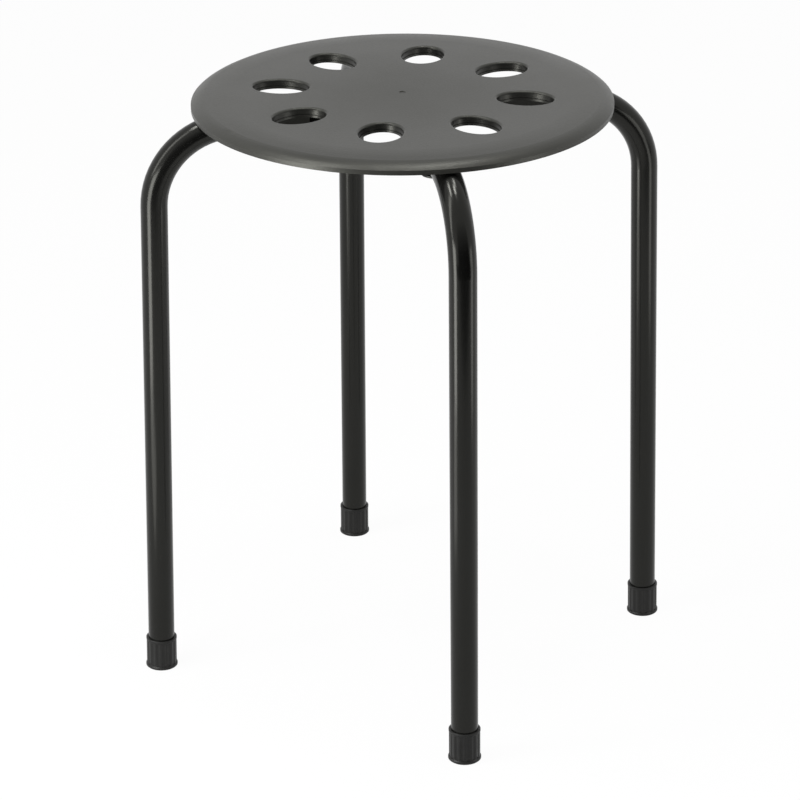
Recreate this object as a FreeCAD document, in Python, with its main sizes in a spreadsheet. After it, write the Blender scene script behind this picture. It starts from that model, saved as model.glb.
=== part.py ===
import FreeCAD, Part
import math
import os
import Sketcher

# Four-legged stacking stool: a moulded seat on two bent tubes that cross under its centre.
# Millimetres, +Z up. The origin is on the floor, under the middle of the seat.
# The upper frame's legs stand on the X axis and the lower frame's legs on the Y axis.

DRIVING_SIZES = [
    # Seat
    ("seat_height", 450.0, "floor to the top of the seat"),
    ("seat_diameter", 310.0, "over the lip"),
    ("seat_wall", 3.2, "thickness of the flat panel"),
    ("crown_width", 27.5, "width of the falling edge, seen from above"),
    ("crown_radius", 150.0, "gentle curve where the edge begins to fall"),
    ("edge_radius", 16.0, "rounder curve that follows it, down to the lip"),
    ("rim_depth", 9.0, "seat top to the bottom of the lip"),
    ("lip_height", 3.4, "upright part of the lip"),
    ("lip_wall", 3.0, "thickness of the lip"),
    ("gate_diameter", 5.0, "moulding mark at the middle of the top"),
    ("gate_depth", 0.5, "depth of that mark"),
    # Oval holes
    ("hole_count", 8, "holes on one circle"),
    ("hole_circle_radius", 90.8, "middle of the seat to the middle of a hole"),
    ("hole_length", 41.5, "size of a hole along the seat's radius"),
    ("hole_width", 31.5, "size of a hole across the seat's radius"),
    ("hole_lip_radius", 1.8, "rounding of a hole's top edge"),
    ("collar_wall", 2.4, "wall of the collar round a hole"),
    ("collar_depth", 7.0, "seat top to the bottom of a collar"),
    ("ledge_width", 0.7, "step inside a collar"),
    ("ledge_height", 1.6, "height of the narrower part under the step"),
    # Ribs under the seat
    ("rib_wall", 2.0, "thickness of a rib"),
    ("rib_depth", 5.6, "seat top to the bottom of a rib"),
    ("inner_ring_radius", 52.0, "ring rib inside the holes"),
    ("outer_ring_radius", 125.0, "ring rib outside the holes"),
    ("hub_radius", 24.0, "round pad at the middle, over the crossing"),
    # Bent tubes
    ("arm_depth", 15.0, "seat top to the axis of an arm"),
    ("tube_diameter", 20.0, "outside of the steel tube"),
    ("tube_wall", 1.2, "wall of the steel tube"),
    ("bend_radius", 59.0, "centre line of a bend"),
    ("foot_circle_radius", 194.2, "middle of the stool to a leg's axis on the floor"),
    ("leg_splay", 1.2, "lean of a leg from upright, in degrees"),
    ("flat_width", 25.8, "width of a tube where it is pressed flat for the crossing"),
    ("flat_length", 30.0, "length of the flat"),
    ("flat_run", 22.0, "length over which the round tube becomes flat"),
    ("crossing_gap", 0.3, "gap between the two flats"),
    ("seat_gap", 0.3, "gap between a tube and the seat"),
    # Cradles, screws and inserts
    ("cradle_start", 72.0, "middle of the seat to the inner end of a cradle"),
    ("cradle_end", 127.0, "middle of the seat to the outer end of a cradle"),
    ("cradle_wall", 2.2, "thickness of a cradle's side"),
    ("cradle_depth", 17.0, "seat top to the bottom of a cradle's side"),
    ("cradle_rib_pitch", 11.5, "screw to the nearest cross rib of a cradle"),
    ("screw_circle_radius", 106.0, "middle of the seat to a screw"),
    ("boss_diameter", 16.0, "boss that holds an insert"),
    ("insert_skin", 1.4, "seat plastic over an insert"),
    ("insert_diameter", 8.0, "barrel of a threaded insert, which goes down into the tube"),
    ("insert_length", 14.0, "whole insert"),
    ("insert_flange", 12.0, "flange of an insert, moulded into the seat"),
    ("insert_flange_height", 1.5, "thickness of that flange"),
    ("barrel_gap", 0.4, "gap round the barrel in the tube's upper wall"),
    ("screw_diameter", 6.0, "shank of a screw"),
    ("screw_length", 20.0, "shank of a screw, under the head"),
    ("shank_gap", 0.3, "gap round the shank in the tube's lower wall"),
    ("thread_gap", 0.1, "gap round the shank in the insert"),
    ("head_diameter", 17.0, "dome of a screw's wide, low head"),
    ("head_height", 3.8, "whole head, with its flange"),
    ("head_flange", 21.0, "flange of the head"),
    ("head_flange_height", 1.4, "thickness of that flange"),
    ("socket_size", 4.0, "six-sided socket, across its flats"),
    ("socket_depth", 2.4, "depth of the socket"),
    # Foot caps
    ("cap_length", 24.5, "whole cap"),
    ("cap_diameter", 23.0, "fluted body"),
    ("cap_floor", 4.0, "thickness under the end of the tube"),
    ("cap_gap", 0.1, "gap between the cap and the tube"),
    ("band_height", 2.2, "smooth band at the top of a cap"),
    ("band_step", 0.25, "how far the band stands proud"),
    ("band_bevel", 0.5, "bevel of the band's top edge"),
    ("foot_diameter", 24.4, "flared foot of a cap"),
    ("foot_height", 1.6, "upright edge of the foot"),
    ("foot_bevel", 0.6, "bevel of the foot's lower edge"),
    ("flare_height", 1.0, "cone between the foot and the body"),
    ("flute_count", 16, "flutes round a cap"),
    ("flute_radius", 4.5, "radius of a flute"),
    ("flute_depth", 0.4, "depth of a flute"),
]

ARM_COUNT = 4
PLACE_NAMES = ["right", "back", "left", "front"]
UP = FreeCAD.Vector(0, 0, 1)
START = FreeCAD.Vector(0, 0, 0)

doc = FreeCAD.newDocument("Stool")
sheet = doc.addObject("Spreadsheet::Sheet", "Sizes")
for row, (alias, number, meaning) in enumerate(DRIVING_SIZES, start=1):
    sheet.set("A%d" % row, meaning)
    sheet.set("B%d" % row, str(number))
    sheet.setAlias("B%d" % row, alias)
doc.recompute()


# Sizes as expressions

class Term:
    # A number together with the sheet expression that gives it.
    def __init__(self, text, number):
        self.text = text
        self.number = float(number)

    def __add__(self, other):
        other = as_term(other)
        return Term("(%s + %s)" % (self.text, other.text), self.number + other.number)

    def __sub__(self, other):
        other = as_term(other)
        return Term("(%s - %s)" % (self.text, other.text), self.number - other.number)

    def __mul__(self, other):
        other = as_term(other)
        return Term("(%s * %s)" % (self.text, other.text), self.number * other.number)

    def __truediv__(self, other):
        other = as_term(other)
        return Term("(%s / %s)" % (self.text, other.text), self.number / other.number)

    def __neg__(self):
        return Term("(-1 * %s)" % self.text, -self.number)

    def turned(self, name, function):
        # Sine, cosine or tangent of an angle in degrees
        return Term("%s(%s * 1 deg)" % (name, self.text), function(math.radians(self.number)))


def as_term(value):
    return value if isinstance(value, Term) else Term(repr(value), value)


class SheetSizes:
    def __getattr__(self, name):
        return Term("Sizes." + name, getattr(sheet, name))


size = SheetSizes()
ZERO = as_term(0)
FULL_TURN = as_term(360)


# Places that several pieces share

tube_radius = size.tube_diameter / 2
arm_height = size.seat_height - size.arm_depth
bed_radius = tube_radius + size.seat_gap
bed_top = size.arm_depth - bed_radius
hole_turn = FULL_TURN / size.hole_count / 2
splay_sine = size.leg_splay.turned("sin", math.sin)
splay_cosine = size.leg_splay.turned("cos", math.cos)
splay_tangent = size.leg_splay.turned("tan", math.tan)


# Sketch helpers

def origin_plane(body, role):
    return next(item for item in body.Origin.OriginFeatures if item.Role == role)


def new_body(label):
    body = doc.addObject("PartDesign::Body", label)
    body.Label = label
    return body


def new_sketch(body, name, role, offset=None, turn=None):
    sketch = body.newObject("Sketcher::SketchObject", name)
    sketch.AttachmentSupport = [(origin_plane(body, role), "")]
    sketch.MapMode = "FlatFace"
    if offset:
        sketch.setExpression("AttachmentOffset.Base.z", offset.text)
    if turn:
        sketch.setExpression("AttachmentOffset.Rotation.Angle", turn.text + " * 1 deg")
    return sketch


def point(x, y):
    return FreeCAD.Vector(as_term(x).number, as_term(y).number, 0)


def bind(sketch, kind, places, term):
    index = sketch.addConstraint(Sketcher.Constraint(kind, *places, term.number))
    sketch.setExpression("Constraints[%d]" % index, term.text)


def pin(sketch, curve, end, x, y):
    # Holds a point at x, y from the sketch's origin. ZERO keeps it on an axis.
    for kind, term, axis in (("DistanceX", x, -2), ("DistanceY", y, -1)):
        if term is ZERO:
            sketch.addConstraint(Sketcher.Constraint("PointOnObject", curve, end, axis))
        else:
            bind(sketch, kind, (-1, 1, curve, end), term)


def join(sketch, curve, end, other, other_end, kind="Coincident"):
    sketch.addConstraint(Sketcher.Constraint(kind, curve, end, other, other_end))


def add_line(sketch, start, end):
    return sketch.addGeometry(Part.LineSegment(start, end), False)


def add_arc(sketch, centre, radius, start_angle, end_angle):
    circle = Part.Circle(centre, UP, radius)
    return sketch.addGeometry(Part.ArcOfCircle(circle, start_angle, end_angle), False)


def add_outline(sketch, corners):
    # Closed outline of straight lines
    lines = []
    for step, corner in enumerate(corners):
        after = corners[(step + 1) % len(corners)]
        lines.append(add_line(sketch, point(*corner), point(*after)))
    for step, corner in enumerate(corners):
        join(sketch, lines[step - 1], 2, lines[step], 1)
        pin(sketch, lines[step], 1, *corner)


def add_circle(sketch, x, y, diameter):
    index = sketch.addGeometry(Part.Circle(point(x, y), UP, diameter.number / 2), False)
    pin(sketch, index, 3, x, y)
    bind(sketch, "Diameter", (index,), diameter)


def add_ellipse(sketch, x, length, width):
    # Centre on the sketch's X axis, long axis along it
    centre = point(x, 0)
    long_end = point(x + length / 2, 0)
    short_end = point(x, width / 2)
    index = sketch.addGeometry(Part.Ellipse(long_end, short_end, centre), False)
    sketch.exposeInternalGeometry(index)
    long_axis = index + 1
    short_axis = index + 2
    pin(sketch, index, 3, x, ZERO)
    sketch.addConstraint(Sketcher.Constraint("Horizontal", long_axis))
    bind(sketch, "Distance", (long_axis,), length)
    bind(sketch, "Distance", (short_axis,), width)


def add_four_arc_round(sketch, middle, diameter):
    # A circle in four quarter arcs, so that it pairs with the four sides of a flat
    quarter = math.pi / 2
    centre = point(0, middle)
    arcs = []
    for step in range(4):
        begin = quarter / 2 - step * quarter
        arcs.append(add_arc(sketch, centre, diameter.number / 2, begin, begin + quarter))
    for step in range(4):
        join(sketch, arcs[step], 1, arcs[(step + 1) % 4], 2)
        if step:
            join(sketch, arcs[0], 3, arcs[step], 3)
    pin(sketch, arcs[0], 3, ZERO, middle)
    bind(sketch, "Diameter", (arcs[0],), diameter)
    for step, kind in enumerate(["Horizontal", "Vertical", "Horizontal"]):
        sketch.addConstraint(Sketcher.Constraint(kind, arcs[step], 1, arcs[step], 2))
    bind(sketch, "DistanceX", (-1, 1, arcs[0], 1), diameter * (math.sqrt(2) / 4))


def add_flat_round(sketch, middle, width, height):
    # Two level lines joined by half circles
    half = (width - height) / 2
    top = middle + height / 2
    bottom = middle - height / 2
    upper = add_line(sketch, point(-half, top), point(half, top))
    right = add_arc(sketch, point(half, middle), height.number / 2, -math.pi / 2, math.pi / 2)
    lower = add_line(sketch, point(half, bottom), point(-half, bottom))
    left = add_arc(sketch, point(-half, middle), height.number / 2, math.pi / 2, 3 * math.pi / 2)
    join(sketch, upper, 2, right, 2, "Tangent")
    join(sketch, right, 1, lower, 1, "Tangent")
    join(sketch, lower, 2, left, 2, "Tangent")
    join(sketch, left, 1, upper, 1, "Tangent")
    sketch.addConstraint(Sketcher.Constraint("Horizontal", upper))
    sketch.addConstraint(Sketcher.Constraint("Horizontal", lower))
    pin(sketch, upper, 1, -half, top)
    bind(sketch, "DistanceX", (-1, 1, upper, 2), half)
    bind(sketch, "DistanceY", (-1, 1, lower, 1), bottom)


# Feature helpers

def revolve(body, sketch, name):
    feature = body.newObject("PartDesign::Revolution", name)
    feature.Profile = sketch
    feature.ReferenceAxis = (sketch, ["V_Axis"])
    feature.Angle = 360.0
    return feature


def extrude(body, kind, sketch, name, length, reverse=False, both=False):
    feature = body.newObject("PartDesign::" + kind, name)
    feature.Profile = sketch
    feature.setExpression("Length", length.text)
    feature.Reversed = reverse
    feature.Midplane = both
    return feature


def spin(body, features, name, count):
    feature = body.newObject("PartDesign::PolarPattern", name)
    feature.Originals = features
    feature.Axis = (origin_plane(body, "Z_Axis"), [""])
    feature.Angle = 360.0
    feature.setExpression("Occurrences", as_term(count).text)
    body.Tip = feature
    return feature


def round_edges(body, name, radius, wanted):
    # Rounds each edge for which wanted(edge) is true
    doc.recompute()
    base = body.Tip
    edges = [number for number, edge in enumerate(base.Shape.Edges, start=1) if wanted(edge)]
    feature = body.newObject("PartDesign::Fillet", name)
    feature.Base = (base, ["Edge%d" % number for number in edges])
    feature.setExpression("Radius", radius.text)
    body.Tip = feature
    return feature


# Seat. Its own Z = 0 is the top of the seat, so everything else hangs below zero. The arms of the
# tubes run out along X and Y, and the holes lie between them.

def make_seat():
    body = new_body("seat")
    body.setExpression("Placement.Base.z", size.seat_height.text)
    add_shell(body)
    add_hub(body)
    add_rings(body)
    add_spokes(body)
    add_holes(body)
    add_cradles(body)
    add_insert_seats(body)
    return body


def seat_edge_centre():
    # Middle of the tight curve: it touches the gentle curve inside and ends at the lip's top corner.
    gentle = size.crown_radius.number
    tight = size.edge_radius.number
    gentle_centre = point(size.seat_diameter / 2 - size.crown_width, -size.crown_radius)
    corner = point(size.seat_diameter / 2, size.lip_height - size.rim_depth)
    across = corner - gentle_centre
    reach = (across.Length ** 2 + (gentle - tight) ** 2 - tight ** 2) / (2 * across.Length)
    aside = math.sqrt((gentle - tight) ** 2 - reach ** 2)
    along = FreeCAD.Vector(across).normalize()
    inward = FreeCAD.Vector(-along.y, along.x, 0)
    return gentle_centre, gentle_centre + along * reach + inward * aside, corner


def add_shell(body):
    sketch = new_sketch(body, "shell_section", "XZ_Plane")
    radius = size.seat_diameter / 2
    crown_start = radius - size.crown_width
    lip_top = size.lip_height - size.rim_depth
    inside = radius - size.lip_wall
    gentle_centre, tight_centre, corner = seat_edge_centre()
    outward = tight_centre - gentle_centre
    meeting = math.atan2(outward.y, outward.x)
    last = corner - tight_centre
    finish = math.atan2(last.y, last.x)

    top = add_line(sketch, point(0, 0), point(crown_start, 0))
    gentle = add_arc(sketch, gentle_centre, size.crown_radius.number, meeting, math.pi / 2)
    tight = add_arc(sketch, tight_centre, size.edge_radius.number, finish, meeting)
    # Lip and underside, from the lip's top corner round to the middle
    corners = [
        (radius, lip_top),
        (radius, -size.rim_depth),
        (inside, -size.rim_depth),
        (inside, lip_top - size.lip_wall / 3),
        (inside - size.edge_radius / 2, lip_top / 3 - size.seat_wall),
        (crown_start, -size.seat_wall),
        (ZERO, -size.seat_wall),
        (ZERO, ZERO),
    ]
    lines = []
    for here, after in zip(corners, corners[1:]):
        lines.append(add_line(sketch, point(*here), point(*after)))
    for step, line in enumerate(lines):
        pin(sketch, line, 1, *corners[step])
    for line, after in zip(lines, lines[1:]):
        join(sketch, line, 2, after, 1)
    join(sketch, lines[-1], 2, -1, 1)
    join(sketch, top, 1, -1, 1)
    sketch.addConstraint(Sketcher.Constraint("Horizontal", top))
    bind(sketch, "DistanceX", (-1, 1, top, 2), crown_start)
    join(sketch, top, 2, gentle, 2, "Tangent")
    join(sketch, gentle, 1, tight, 2, "Tangent")
    join(sketch, tight, 1, lines[0], 1)
    bind(sketch, "Radius", (gentle,), size.crown_radius)
    bind(sketch, "Radius", (tight,), size.edge_radius)
    revolve(body, sketch, "shell")


def underside_sketch(body, name, turn=None):
    return new_sketch(body, name, "XY_Plane", -size.seat_wall, turn)


def hang(body, sketch, name, depth):
    # Pads down from the panel's underside to a depth counted from the seat's top
    return extrude(body, "Pad", sketch, name, depth - size.seat_wall, reverse=True)


def add_hub(body):
    outline = underside_sketch(body, "hub_outline")
    add_circle(outline, ZERO, ZERO, size.hub_radius * 2)
    hang(body, outline, "hub", bed_top)
    mark = new_sketch(body, "gate_outline", "XY_Plane")
    add_circle(mark, ZERO, ZERO, size.gate_diameter)
    extrude(body, "Pocket", mark, "gate_mark", size.gate_depth)


def add_rings(body):
    for name, radius in (("inner_ring", size.inner_ring_radius), ("outer_ring", size.outer_ring_radius)):
        outline = underside_sketch(body, name + "_outline")
        add_circle(outline, ZERO, ZERO, radius * 2 + size.rib_wall)
        add_circle(outline, ZERO, ZERO, radius * 2 - size.rib_wall)
        hang(body, outline, name, size.rib_depth)


def add_spokes(body):
    # Straight ribs halfway between the arms, from the hub to the lip
    outline = underside_sketch(body, "spoke_outline", FULL_TURN / ARM_COUNT / 2)
    start = size.hub_radius - size.rib_wall
    end = size.seat_diameter / 2 - size.lip_wall
    half = size.rib_wall / 2
    add_outline(outline, [(start, -half), (end, -half), (end, half), (start, half)])
    spoke = hang(body, outline, "spoke", size.rib_depth)
    spin(body, [spoke], "spokes", ARM_COUNT)


def add_holes(body):
    # Each hole is a collar, the hole in it down to a ledge, and a narrower throat under the ledge.
    collar = underside_sketch(body, "collar_outline", hole_turn)
    add_ellipse(collar, size.hole_circle_radius, size.hole_length + size.collar_wall * 2,
                size.hole_width + size.collar_wall * 2)
    wall = hang(body, collar, "collar", size.collar_depth)
    mouth = new_sketch(body, "hole_outline", "XY_Plane", turn=hole_turn)
    add_ellipse(mouth, size.hole_circle_radius, size.hole_length, size.hole_width)
    hole = extrude(body, "Pocket", mouth, "hole", size.collar_depth - size.ledge_height)
    narrow = new_sketch(body, "throat_outline", "XY_Plane", turn=hole_turn)
    add_ellipse(narrow, size.hole_circle_radius, size.hole_length - size.ledge_width * 2,
                size.hole_width - size.ledge_width * 2)
    throat = extrude(body, "Pocket", narrow, "throat", size.collar_depth + size.seat_wall)
    spin(body, [wall, hole, throat], "holes", size.hole_count)

    def on_hole_mouth(edge):
        box = edge.BoundBox
        on_top = abs(box.ZMax) < 0.001 and abs(box.ZMin) < 0.001
        middle = math.hypot(box.Center.x, box.Center.y)
        return on_top and middle > size.hole_circle_radius.number / 2

    round_edges(body, "hole_lips", size.hole_lip_radius, on_hole_mouth)


def add_cradles(body):
    # Two side walls with cross ribs between them hold each arm. All are cut to the round of the tube.
    features = []
    for side, sign in (("left", 1), ("right", -1)):
        outline = underside_sketch(body, "cradle_%s_outline" % side)
        near = bed_radius * sign
        far = (bed_radius + size.cradle_wall) * sign
        add_outline(outline, [
            (size.cradle_start, near), (size.cradle_end, near),
            (size.cradle_end, far), (size.cradle_start, far),
        ])
        features.append(hang(body, outline, "cradle_" + side, size.cradle_depth))
    outline = underside_sketch(body, "boss_outline")
    add_circle(outline, size.screw_circle_radius, ZERO, size.boss_diameter)
    features.append(hang(body, outline, "boss", size.arm_depth))
    half = size.rib_wall / 2
    inner_end = size.cradle_start + half
    outer_end = size.cradle_end - half
    before_screw = size.screw_circle_radius - size.cradle_rib_pitch
    after_screw = size.screw_circle_radius + size.cradle_rib_pitch
    for middle in (inner_end, (inner_end + before_screw) / 2, before_screw, after_screw, outer_end):
        outline = underside_sketch(body, "cradle_rib_outline")
        add_outline(outline, [
            (middle - half, -bed_radius), (middle + half, -bed_radius),
            (middle + half, bed_radius), (middle - half, bed_radius),
        ])
        features.append(hang(body, outline, "cradle_rib", size.arm_depth))
    bed = new_sketch(body, "tube_bed_outline", "YZ_Plane")
    add_circle(bed, ZERO, -size.arm_depth, bed_radius * 2)
    features.append(extrude(body, "Pocket", bed, "tube_bed", size.cradle_end + size.rib_wall, reverse=True))
    spin(body, features, "cradles", ARM_COUNT)


def add_insert_seats(body):
    # The moulded-in flange lies in the panel, between the skin over it and the boss under it.
    outline = new_sketch(body, "insert_barrel_outline", "XY_Plane", -size.arm_depth)
    add_circle(outline, size.screw_circle_radius, ZERO, size.insert_diameter)
    length = size.arm_depth - size.insert_skin
    barrel = extrude(body, "Pocket", outline, "insert_barrel", length, reverse=True)
    shoulder = size.insert_skin + size.insert_flange_height
    outline = new_sketch(body, "insert_flange_outline", "XY_Plane", -shoulder)
    add_circle(outline, size.screw_circle_radius, ZERO, size.insert_flange)
    flange = extrude(body, "Pocket", outline, "insert_flange", size.insert_flange_height, reverse=True)
    spin(body, [barrel, flange], "insert_seats", ARM_COUNT)


# Bent tubes. One half is swept along its centre line from the pressed flat to the foot, and mirrored.

def make_frame(label, flat_side, turn):
    # flat_side is -1 where the flat lies in the lower half of the tube, 1 where it lies in the upper.
    body = new_body(label)
    body.Placement = FreeCAD.Placement(START, FreeCAD.Rotation(UP, turn))
    flat_start = size.flat_length / 2
    round_start = flat_start + size.flat_run
    flat_height = (size.tube_diameter - size.crossing_gap) / 2
    flat_middle = arm_height + (tube_radius - flat_height / 2) * flat_side
    wall = size.tube_wall * 2

    path = new_sketch(body, "centre_line", "XZ_Plane")
    add_centre_line(path, round_start)
    ring = new_sketch(body, "tube_section", "YZ_Plane", round_start)
    add_circle(ring, ZERO, arm_height, size.tube_diameter)
    add_circle(ring, ZERO, arm_height, size.tube_diameter - wall)
    pipe = body.newObject("PartDesign::AdditivePipe", "arm_and_leg")
    pipe.Profile = ring
    pipe.Spine = (path, ["Edge1", "Edge2", "Edge3"])

    features = [pipe]
    for layer, kind, less in (("outer", "AdditiveLoft", as_term(0)), ("inner", "SubtractiveLoft", wall)):
        flat = new_sketch(body, layer + "_flat_section", "YZ_Plane", flat_start)
        add_flat_round(flat, flat_middle, size.flat_width - less, flat_height - less)
        round_end = new_sketch(body, layer + "_round_section", "YZ_Plane", round_start)
        add_four_arc_round(round_end, arm_height, size.tube_diameter - less)
        loft = body.newObject("PartDesign::" + kind, layer + "_flat_run")
        loft.Profile = flat
        loft.Sections = [round_end]
        loft.Ruled = False
        features.append(loft)
    ring = new_sketch(body, "flat_section", "YZ_Plane")
    add_flat_round(ring, flat_middle, size.flat_width, flat_height)
    add_flat_round(ring, flat_middle, size.flat_width - wall, flat_height - wall)
    features.append(extrude(body, "Pad", ring, "flat", flat_start))

    outline = new_sketch(body, "screw_hole_outline", "XY_Plane", arm_height)
    add_circle(outline, size.screw_circle_radius, ZERO, size.screw_diameter + size.shank_gap * 2)
    features.append(extrude(body, "Pocket", outline, "screw_hole", size.tube_diameter * 2, both=True))
    outline = new_sketch(body, "barrel_hole_outline", "XY_Plane", arm_height)
    add_circle(outline, size.screw_circle_radius, ZERO, size.insert_diameter + size.barrel_gap * 2)
    features.append(extrude(body, "Pocket", outline, "barrel_hole", size.tube_diameter, reverse=True))

    mirror = body.newObject("PartDesign::Mirrored", "other_half")
    mirror.Originals = features
    mirror.MirrorPlane = (origin_plane(body, "YZ_Plane"), [""])
    body.Tip = mirror
    return body


def add_centre_line(sketch, start):
    # Arm, bend and leg. The leg ends on the floor of its cap.
    splay = math.radians(size.leg_splay.number)
    foot_x = size.foot_circle_radius - splay_sine * size.cap_floor
    foot_z = splay_cosine * size.cap_floor
    turn = math.pi / 2 - splay
    bend = size.bend_radius.number
    corner_x = size.foot_circle_radius.number - arm_height.number * math.tan(splay)
    bend_x = corner_x - bend * math.tan(turn / 2)
    centre = FreeCAD.Vector(bend_x, arm_height.number - bend, 0)
    bend_end = centre + FreeCAD.Vector(math.cos(splay), math.sin(splay), 0) * bend

    arm = add_line(sketch, point(start, arm_height), point(bend_x, arm_height))
    arc = add_arc(sketch, centre, bend, splay, math.pi / 2)
    leg = add_line(sketch, bend_end, point(foot_x, foot_z))
    pin(sketch, arm, 1, start, arm_height)
    sketch.addConstraint(Sketcher.Constraint("Horizontal", arm))
    join(sketch, arm, 2, arc, 2, "Tangent")
    join(sketch, arc, 1, leg, 1, "Tangent")
    bind(sketch, "Radius", (arc,), size.bend_radius)
    pin(sketch, leg, 2, foot_x, foot_z)
    lean = size.leg_splay - 90
    bind(sketch, "Angle", (leg,), Term(lean.text + " * 1 deg", math.radians(lean.number)))


# Foot caps. Each stands in its own frame, Z along the leg's axis, and is cut level with the floor.

def make_cap(name, turn):
    body = new_body("foot_cap_" + name)
    around = FreeCAD.Placement(START, FreeCAD.Rotation(UP, turn))
    leaning = FreeCAD.Rotation(FreeCAD.Vector(0, 1, 0), -size.leg_splay.number)
    body.Placement = around * FreeCAD.Placement(point(size.foot_circle_radius, 0), leaning)
    add_cap_body(body)
    add_flutes(body)
    add_floor_cut(body)
    return body


def add_cap_body(body):
    sketch = new_sketch(body, "cap_section", "XZ_Plane")
    bore = tube_radius + size.cap_gap
    foot = size.foot_diameter / 2
    barrel = size.cap_diameter / 2
    band = barrel + size.band_step
    low = -foot * splay_tangent
    band_bottom = size.cap_length - size.band_height
    add_outline(sketch, [
        (ZERO, low),
        (foot - size.foot_bevel, low),
        (foot, low + size.foot_bevel),
        (foot, size.foot_height),
        (barrel, size.foot_height + size.flare_height),
        (barrel, band_bottom),
        (band, band_bottom + size.band_step),
        (band, size.cap_length - size.band_bevel),
        (band - size.band_bevel, size.cap_length),
        (bore, size.cap_length),
        (bore, size.cap_floor),
        (ZERO, size.cap_floor),
    ])
    revolve(body, sketch, "cap_body")


def add_flutes(body):
    bottom = size.foot_height + size.flare_height
    sketch = new_sketch(body, "flute_outline", "XY_Plane", bottom)
    middle = size.cap_diameter / 2 - size.flute_depth + size.flute_radius
    add_circle(sketch, middle, ZERO, size.flute_radius * 2)
    length = size.cap_length - size.band_height - bottom
    flute = extrude(body, "Pocket", sketch, "flute", length, reverse=True)
    spin(body, [flute], "flutes", size.flute_count)


def add_floor_cut(body):
    sketch = new_sketch(body, "floor_outline", "XZ_Plane")
    reach = size.foot_diameter
    rise = reach * splay_tangent
    add_outline(sketch, [(-reach, rise), (-reach, -reach), (reach, -reach), (reach, -rise)])
    extrude(body, "Pocket", sketch, "floor_cut", reach * 2, both=True)


# Screws and inserts. Z = 0 is the underside of the arm for a screw, the end of the barrel for an insert.

def place_on_screw_circle(body, height, turn):
    around = FreeCAD.Placement(START, FreeCAD.Rotation(UP, turn))
    spot = FreeCAD.Vector(size.screw_circle_radius.number, 0, height.number)
    body.Placement = around * FreeCAD.Placement(spot, FreeCAD.Rotation())


def make_screw(name, turn):
    body = new_body("seat_screw_" + name)
    place_on_screw_circle(body, arm_height - tube_radius, turn)
    sketch = new_sketch(body, "screw_section", "XZ_Plane")
    shank = size.screw_diameter / 2 - size.thread_gap
    dome = size.head_diameter / 2
    rise = size.head_height - size.head_flange_height
    dome_radius = (dome * dome + rise * rise) / (rise * 2)
    centre = point(0, dome_radius - size.head_height)
    finish = math.atan2(-size.head_flange_height.number - centre.y, dome.number)
    arc = add_arc(sketch, centre, dome_radius.number, -math.pi / 2, finish)
    corners = [
        (dome, -size.head_flange_height),
        (size.head_flange / 2, -size.head_flange_height),
        (size.head_flange / 2, ZERO),
        (shank, ZERO),
        (shank, size.screw_length),
        (ZERO, size.screw_length),
        (ZERO, -size.head_height),
    ]
    lines = []
    for here, after in zip(corners, corners[1:]):
        lines.append(add_line(sketch, point(*here), point(*after)))
    for step, line in enumerate(lines):
        pin(sketch, line, 1, *corners[step])
    for line, after in zip(lines, lines[1:]):
        join(sketch, line, 2, after, 1)
    pin(sketch, lines[-1], 2, *corners[-1])
    join(sketch, arc, 1, lines[-1], 2)
    join(sketch, arc, 2, lines[0], 1)
    sketch.addConstraint(Sketcher.Constraint("PointOnObject", arc, 3, -2))
    revolve(body, sketch, "screw")

    socket = new_sketch(body, "socket_outline", "XY_Plane", -size.head_height)
    reach = size.socket_size / math.sqrt(3)
    corners = []
    for step in range(6):
        turned = math.radians(60 * step + 30)
        corners.append((reach * math.cos(turned), reach * math.sin(turned)))
    add_outline(socket, corners)
    extrude(body, "Pocket", socket, "socket", size.socket_depth, reverse=True)
    return body


def make_insert(name, turn):
    body = new_body("seat_insert_" + name)
    place_on_screw_circle(body, size.seat_height - size.insert_skin - size.insert_length, turn)
    sketch = new_sketch(body, "insert_section", "XZ_Plane")
    bore = size.screw_diameter / 2
    barrel = size.insert_diameter / 2
    flange = size.insert_flange / 2
    shoulder = size.insert_length - size.insert_flange_height
    add_outline(sketch, [
        (bore, ZERO),
        (barrel, ZERO),
        (barrel, shoulder),
        (flange, shoulder),
        (flange, size.insert_length),
        (bore, size.insert_length),
    ])
    revolve(body, sketch, "insert")
    return body


def make_pieces():
    pieces = [make_seat()]
    pieces.append(make_frame("leg_frame_lower", -1, 90))
    pieces.append(make_frame("leg_frame_upper", 1, 0))
    for step, name in enumerate(PLACE_NAMES):
        turn = step * 360 / ARM_COUNT
        pieces.append(make_cap(name, turn))
        pieces.append(make_screw(name, turn))
        pieces.append(make_insert(name, turn))
    doc.recompute()
    return pieces


def check_pieces(pieces):
    for item in doc.Objects:
        if "Invalid" in item.State or "Error" in item.State:
            raise RuntimeError("%s of %s failed" % (item.Label, item.getParent() or "the document"))
    for piece in pieces:
        shape = piece.Shape
        if shape.isNull() or not shape.isValid() or len(shape.Solids) != 1:
            raise RuntimeError("%s isn't one sound solid" % piece.Label)


pieces = make_pieces()
check_pieces(pieces)
os.makedirs("parts", exist_ok=True)
for piece in pieces:
    piece.Shape.exportStep("parts/%s.step" % piece.Label)
    print("%-22s %9.2f cm3" % (piece.Label, piece.Shape.Volume / 1000))
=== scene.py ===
import math

import bpy
from mathutils import Matrix, Vector

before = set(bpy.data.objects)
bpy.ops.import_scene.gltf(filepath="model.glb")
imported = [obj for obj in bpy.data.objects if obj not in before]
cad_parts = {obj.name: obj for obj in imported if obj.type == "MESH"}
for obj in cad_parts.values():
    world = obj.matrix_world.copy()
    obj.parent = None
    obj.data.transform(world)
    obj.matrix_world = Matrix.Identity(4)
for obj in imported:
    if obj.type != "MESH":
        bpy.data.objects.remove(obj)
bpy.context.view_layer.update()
print("frame loaded:", len(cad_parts), "nodes")

scene = bpy.context.scene
scene.view_settings.view_transform = "Standard"


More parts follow.
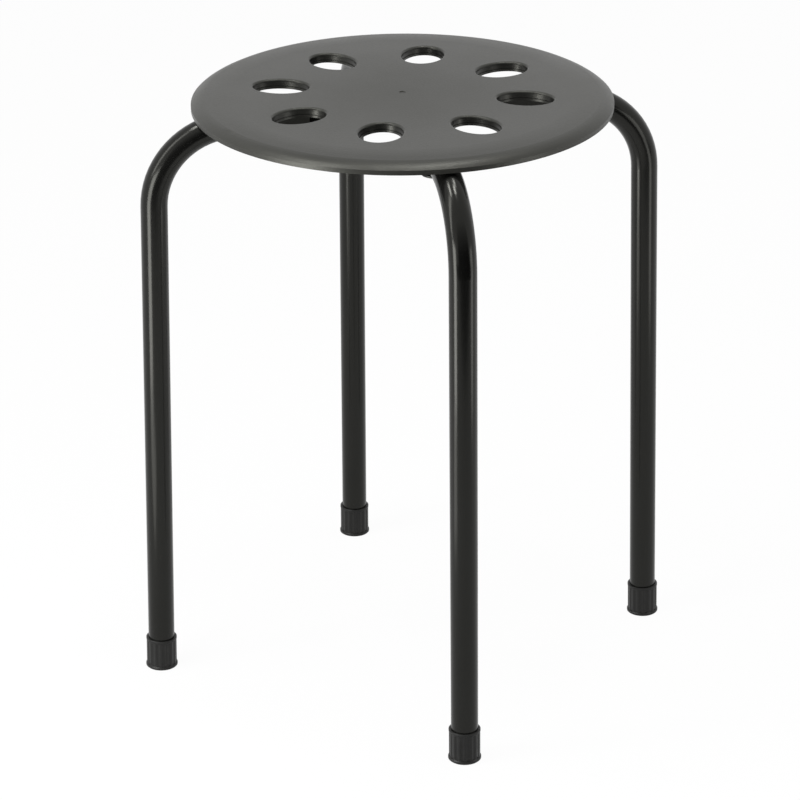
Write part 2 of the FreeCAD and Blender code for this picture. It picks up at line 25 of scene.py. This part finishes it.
# Camera: where the photograph was taken from, in the stool's own frame

view = {
    "azimuth": -12.68,        # degrees round the stool, from straight in front of the front leg
    "distance": 2.23395,      # metres from the stool's axis, level
    "height": 1.19140,        # metres above the floor
    "yaw": 0.24,              # degrees, to the right of the axis
    "pitch": 23.76,           # degrees, down
    "roll": -0.26,            # degrees
    "focalPixels": 3200.0,    # the lens, in pixels of the picture
    "centre": (416.65, 394.42),  # the point of the picture that the camera looks at
    "imageWidth": 800,        # pixels, and the height is the same
    "sensor": 36.0,           # millimetres
    "nearest": 0.05, "farthest": 60.0,  # metres, between which things show
}


def makeCamera():
    turn, yaw, pitch, roll = (math.radians(view[key]) for key in ("azimuth", "yaw", "pitch", "roll"))
    data = bpy.data.cameras.new("photoCamera")
    camera = bpy.data.objects.new("photoCamera", data)
    scene.collection.objects.link(camera)
    data.sensor_width = view["sensor"]
    data.lens = view["focalPixels"] * view["sensor"] / view["imageWidth"]
    half = view["imageWidth"] / 2
    data.shift_x = -(view["centre"][0] - half) / view["imageWidth"]
    data.shift_y = (view["centre"][1] - half) / view["imageWidth"]
    data.clip_start = view["nearest"]
    data.clip_end = view["farthest"]
    # Blender's camera looks down its -Z with +Y up. It is tipped up to the horizon, then down, and turned.
    aim = (Matrix.Rotation(turn, 4, "Z") @ Matrix.Rotation(-yaw, 4, "Z")
           @ Matrix.Rotation(math.pi / 2 - pitch, 4, "X") @ Matrix.Rotation(roll, 4, "Z"))
    place = Vector((math.sin(turn) * view["distance"], -math.cos(turn) * view["distance"], view["height"]))
    camera.matrix_world = Matrix.Translation(place) @ aim
    scene.camera = camera


makeCamera()
print("camera set")


# Shader maths: a Wire is an output socket that can be added, multiplied and so on

class Wire:
    def __init__(self, graph, socket):
        self.graph = graph
        self.socket = socket

    def maths(self, operation, *terms):
        return self.graph.make("ShaderNodeMath", {"operation": operation}, dict(enumerate(terms)))

    def __add__(self, other):
        return self.maths("ADD", self, other)

    def __radd__(self, other):
        return self.maths("ADD", other, self)

    def __sub__(self, other):
        return self.maths("SUBTRACT", self, other)

    def __rsub__(self, other):
        return self.maths("SUBTRACT", other, self)

    def __mul__(self, other):
        return self.maths("MULTIPLY", self, other)

    def __rmul__(self, other):
        return self.maths("MULTIPLY", other, self)

    def __abs__(self):
        return self.maths("ABSOLUTE", self)

    def atMost(self, limit):
        return self.maths("MINIMUM", self, limit)


class Graph:
    def __init__(self, tree):
        self.tree = tree
        tree.nodes.clear()

    def make(self, kind, settings=None, values=None, out=0):
        # A node with its settings, then what its sockets hold or are linked to. It gives back one output
        node = self.tree.nodes.new(kind)
        for name, setting in (settings or {}).items():
            setattr(node, name, setting)
        for name, value in (values or {}).items():
            if isinstance(value, Wire):
                self.tree.links.new(value.socket, node.inputs[name])
            else:
                node.inputs[name].default_value = value
        return Wire(self, node.outputs[out]) if len(node.outputs) else None

    def place(self):
        return self.make("ShaderNodeTexCoord", out="Object")

    def part(self, vector, axis):
        return self.make("ShaderNodeSeparateXYZ", {}, {0: vector}, out=axis)

    def noise(self, at, scale, detail, rough):
        return self.make("ShaderNodeTexNoise", {}, {
            "Vector": at, "Scale": scale, "Detail": detail, "Roughness": rough})

    def ramp(self, value, low, high, start=0.0, end=1.0):
        # value from low..high carried to start..end, held inside those ends
        return self.make("ShaderNodeMapRange", {"clamp": True}, {
            "Value": value, "From Min": low, "From Max": high, "To Min": start, "To Max": end})

    def mixColour(self, factor, first, second):
        # A Mix node has its colours at inputs 6 and 7 and output 2
        return self.make("ShaderNodeMix", {"data_type": "RGBA"}, {0: factor, 6: first, 7: second}, out=2)

    def bump(self, finish, height):
        return self.make("ShaderNodeBump", {}, {
            "Strength": finish["bumpStrength"], "Distance": finish["bumpDepth"], "Height": height})

    def seenBy(self, *rays):
        # 1 for a ray of one of these kinds, else 0
        return sum(self.make("ShaderNodeLightPath", out=ray) for ray in rays).atMost(1.0)


def grey(level, warm=0.0):
    # A grey given as its sRGB level from 0 to 255, turned to linear light; warm takes that share off its blue
    share = level / 255
    linear = ((share + 0.055) / 1.055) ** 2.4 if share > 0.04045 else share / 12.92
    return (linear, linear, linear * (1 - warm), 1)


def newMaterial(name):
    material = bpy.data.materials.new(name)
    material.use_nodes = True
    return material, Graph(material.node_tree)


def finishSurface(graph, settings):
    # settings: the socket values of the Principled shader
    shader = graph.make("ShaderNodeBsdfPrincipled", {}, settings)
    graph.make("ShaderNodeOutputMaterial", {}, {"Surface": shader})


# Materials. Each noise is given by its scale, detail and roughness, and lengths are in metres

colourSpan = (0.3, 0.7)       # the stretch of a noise that carries a colour from one end to the other
glossSpan = (0.25, 0.75)      # and the roughness

seatFinish = {
    "level": 34, "lighter": 40,       # sRGB greys of the moulded plastic
    "warm": 0.1,                      # the share off their blue
    "shader": {"IOR": 1.5, "Specular IOR Level": 0.4, "Specular Tint": (1, 1, 0.9, 1)},
    "roughness": (0.35, 0.41),
    "clouds": (14.0, 4, 0.55),        # where the plastic flowed
    "grain": (950.0, 3, 0.6),
    "speck": (620.0, 2, 0.5),
    "cloudTone": 0.6,                 # share of the colour that follows the clouds; the specks give the rest
    "speckGloss": 0.045,              # spread of the roughness from speck to speck
    "speckHeight": 0.8,               # height of a speck beside the grain's
    "bumpStrength": 0.8, "bumpDepth": 0.0001,
    "slope": (0.25, 0.6),             # the normal's Z: upright below the first, level above the second
    "rimSide": (0.128, 0.124),        # from the middle: no hole's wall at the first, walls from the second
    "gateSide": (0.03, 0.034),
    "wallRoughness": 0.36, "wallShadeLevel": 14,  # the walls of the holes came off smoother steel; their darker grey is painted shade
    "gateEdge": (0.004, 0.003),       # the step of the gate mark, in the same way
    # the gate mark's step is painted a lighter grey: painted light over its shaded wall
    "gateLitLevel": 105,
    "gateRoughness": 0.09, "gateReach": 0.11,  # how much rougher the middle is, and how far that goes
}


def seatPlastic():
    # Spark-eroded grain, with faint flow clouds in its colour and gloss; painted shade darkens the holes'
    # walls and painted light lightens the gate mark's step
    material, g = newMaterial("seatPlastic")
    s = seatFinish
    at = g.place()
    clouds = g.noise(at, *s["clouds"])
    fine = g.noise(at, *s["grain"])
    speck = g.noise(at, *s["speck"])
    tone = g.ramp(clouds, *colourSpan) * s["cloudTone"] + g.ramp(speck, *colourSpan) * (1 - s["cloudTone"])
    colour = g.mixColour(tone, grey(s["level"], s["warm"]), grey(s["lighter"], s["warm"]))
    rough = g.ramp(clouds, *glossSpan, *s["roughness"])
    rough = rough + (g.ramp(speck, *colourSpan) - 0.5) * s["speckGloss"]
    # How upright the surface is, and how far from the middle of the seat
    upright = 1 - g.ramp(abs(g.part(g.make("ShaderNodeNewGeometry", out="Normal"), "Z")), *s["slope"])
    level = g.make("ShaderNodeVectorMath", {"operation": "MULTIPLY"}, {0: at, 1: (1, 1, 0)})
    across = g.make("ShaderNodeVectorMath", {"operation": "LENGTH"}, {0: level}, out="Value")
    # Only the holes' walls: inside the lip and outside the gate mark
    wall = upright * g.ramp(across, *s["rimSide"]) * g.ramp(across, *s["gateSide"])
    gate = upright * g.ramp(across, *s["gateEdge"])
    rough = rough + g.ramp(across, s["gateReach"], 0.0, 0.0, s["gateRoughness"])
    rough = rough + wall * (s["wallRoughness"] - rough)
    # Painted shade: the holes' walls take a darker grey
    colour = g.mixColour(wall, colour, grey(s["wallShadeLevel"], s["warm"]))
    # Painted light: the upright step of the gate mark takes a lighter grey
    colour = g.mixColour(gate, colour, grey(s["gateLitLevel"], s["warm"]))
    grain = (fine + speck * s["speckHeight"]) * (1 - wall)
    finishSurface(g, {"Base Color": colour, "Roughness": rough, "Normal": g.bump(s, grain), **s["shader"]})
    return material


def cloudedMaterial(name, finish):
    # Clouds of noise carry the colour and the roughness between their two ends, and the relief is the bump
    material, g = newMaterial(name)
    at = g.place()
    clouds = g.noise(at, *finish["clouds"])
    colour = g.mixColour(g.ramp(clouds, *colourSpan), *finish["colours"])
    rough = g.ramp(clouds, *glossSpan, *finish["roughness"])
    bump = g.bump(finish, g.noise(at, *finish["relief"]))
    finishSurface(g, {"Base Color": colour, "Roughness": rough, "Normal": bump, **finish["shader"]})
    return material


tubeFinish = {
    "colours": (grey(12, 0.06), grey(16, 0.06)),
    "shader": {"IOR": 1.5, "Specular IOR Level": 0.25, "Specular Tint": (1, 1, 0.92, 1)},
    "roughness": (0.16, 0.21),
    "clouds": (9.0, 3, 0.5),
    "relief": (260.0, 2, 0.5),        # orange peel
    "bumpStrength": 0.2, "bumpDepth": 0.00002,
}


def tubePaint():
    # Satin black powder coat
    return cloudedMaterial("tubePaint", tubeFinish)


capFinish = {
    "colours": (grey(20, 0.08), grey(26, 0.08)),
    "shader": {"IOR": 1.5, "Specular IOR Level": 0.25},
    "roughness": (0.36, 0.48),
    "clouds": (60.0, 3, 0.5),
    "relief": (1200.0, 2, 0.5),
    "bumpStrength": 0.4, "bumpDepth": 0.00002,
}


def capPlastic():
    # Moulded, with a finer and duller grain than the seat's
    return cloudedMaterial("capPlastic", capFinish)


screwFinish = {
    "colours": (grey(34, 0.06), grey(50, 0.06)),
    "shader": {"Metallic": 1.0},
    "roughness": (0.3, 0.42),
    "clouds": (300.0, 3, 0.5),
    "relief": (300.0, 3, 0.5),        # the plating is rough where it is dull, so both follow one noise
    "bumpStrength": 0.3, "bumpDepth": 0.00002,
}


def screwSteel():
    # Dark plated steel
    return cloudedMaterial("screwSteel", screwFinish)


insertFinish = {
    "colours": ((0.6, 0.42, 0.18, 1), (0.72, 0.52, 0.24, 1)),
    "shader": {"Metallic": 1.0},
    "roughness": (0.25, 0.4),
    "clouds": (400.0, 3, 0.5),
    "relief": (400.0, 3, 0.5),        # one noise, as on the screws
    "bumpStrength": 0.3, "bumpDepth": 0.00002,
}


def insertBrass():
    # Turned brass
    return cloudedMaterial("insertBrass", insertFinish)


def dressPieces():
    # A piece takes the first finish whose key its name begins with
    finishes = {
        "seat_screw": screwSteel(), "seat_insert": insertBrass(), "seat": seatPlastic(),
        "leg_frame": tubePaint(), "foot_cap": capPlastic(),
    }
    for name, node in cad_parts.items():
        node.data.materials.clear()
        node.data.materials.append(next(finish for key, finish in finishes.items() if name.startswith(key)))


dressPieces()
print("materials on")


# Floor, world and lamps

studio = {
    "worldFill": 0.38,        # strength of the world for diffuse light
    "floorHalf": 6.0,         # metres, half the floor's side
    "floorHeight": -0.0002,   # a hair under the caps, so that no two faces share one plane
    "floorGrey": (0.9, 0.9, 0.9, 1),
    "floorShow": 0.96,        # share of plain white that the camera sees on the floor
    "matHalf": 3.0,           # half the width of the dark mat and its board
    "matHeight": 0.004,
    "matNear": -1.0, "matFar": -3.2,    # in front of the stool: the mat's edge, and the board's foot
    "matGrey": grey(20),
    "boardFade": 1.0, "boardTop": 4.2,  # the board fades out from one height to the other
}


def makeWorld():
    world = bpy.data.worlds.new("studioWorld")
    scene.world = world
    world.use_nodes = True
    g = Graph(world.node_tree)
    seen = g.seenBy("Is Camera Ray", "Is Glossy Ray", "Is Transmission Ray")
    strength = seen * (1 - studio["worldFill"]) + studio["worldFill"]
    sky = g.make("ShaderNodeBackground", {}, {"Color": (1, 1, 1, 1), "Strength": strength})
    g.make("ShaderNodeOutputWorld", {}, {"Surface": sky})


def newSheet(name, corners, faces):
    # A flat mesh with a material of its own name
    mesh = bpy.data.meshes.new(name)
    mesh.from_pydata(corners, [], faces)
    sheet = bpy.data.objects.new(name, mesh)
    scene.collection.objects.link(sheet)
    material, g = newMaterial(name)
    mesh.materials.append(material)
    return sheet, g


def mixSurface(g, factor, first, second):
    both = g.make("ShaderNodeMixShader", {}, {0: factor, 1: first, 2: second})
    g.make("ShaderNodeOutputMaterial", {}, {"Surface": both})


def makeFloor():
    half, low = studio["floorHalf"], studio["floorHeight"]
    corners = [(-half, -half, low), (half, -half, low), (half, half, low), (-half, half, low)]
    floor, g = newSheet("studioFloor", corners, [(0, 1, 2, 3)])
    matt = g.make("ShaderNodeBsdfDiffuse", {}, {"Color": studio["floorGrey"]})
    plain = g.make("ShaderNodeEmission", {}, {"Color": (1, 1, 1, 1), "Strength": 1.0})
    seen = g.seenBy("Is Camera Ray", "Is Glossy Ray")
    mixSurface(g, seen * studio["floorShow"], matt, plain)


lamps = [
    # name, middle, aimed at, width and height, radiance
    ("zenithBox", (0.10, -0.15, 2.0), (0.10, -0.15, 0.45), (0.26, 0.31), 26.0),
    ("zenithRight", (0.35, 0.15, 2.0), (0.35, 0.15, 0.45), (0.26, 0.31), 14.8),
    ("upperLeftBox", (-0.80, 0.02, 2.0), (0, -0.1, 0.45), (0.50, 0.30), 19.0),
    ("leftBox", (-1.15, -0.18, 1.10), (0, -0.1, 0.45), (0.26, 1.10), 6.0),
    ("leftStrip", (-0.65, -0.34, 0.25), (0, -0.05, 0.25), (0.27, 0.48), 9.2),
    ("rightStrip", (0.58, -0.50, 0.25), (0, -0.05, 0.25), (0.22, 0.48), 2.8),
    ("floorCard", (-0.52, -0.25, 0.012), (-0.52, -0.25, 1.0), (0.32, 0.22), 2.4),
]


def makeLamps():
    # A rectangle of area A with radiance L gives pi x A x L watts
    for name, place, target, size, radiance in lamps:
        data = bpy.data.lights.new(name, "AREA")
        data.shape = "RECTANGLE"
        data.size, data.size_y = size
        data.energy = math.pi * size[0] * size[1] * radiance
        lamp = bpy.data.objects.new(name, data)
        lamp.location = place
        lamp.rotation_euler = (Vector(target) - Vector(place)).to_track_quat("-Z", "Y").to_euler()
        lamp.visible_camera = False
        scene.collection.objects.link(lamp)


def makeDarkMat():
    # The dim room in front of the pale floor, which only reflections show: it gives the tubes a dark middle.
    # Its three edges are the mat's near edge, the foot of the board and its top. The board fades out upwards
    half, low, far = studio["matHalf"], studio["matHeight"], studio["matFar"]
    edges = [(studio["matNear"], low), (far, low), (far, studio["boardTop"])]
    corners = [(x, y, z) for y, z in edges for x in (half, -half)]
    mat, g = newSheet("darkMat", corners, [(0, 1, 3, 2), (2, 3, 5, 4)])
    fade = g.ramp(g.part(g.place(), "Z"), studio["boardFade"], studio["boardTop"])
    matt = g.make("ShaderNodeBsdfDiffuse", {}, {"Color": studio["matGrey"]})
    mixSurface(g, fade, matt, g.make("ShaderNodeBsdfTransparent"))
    mat.visible_camera = mat.visible_diffuse = mat.visible_shadow = False


makeWorld()
makeFloor()
makeLamps()
makeDarkMat()
print("studio lit")
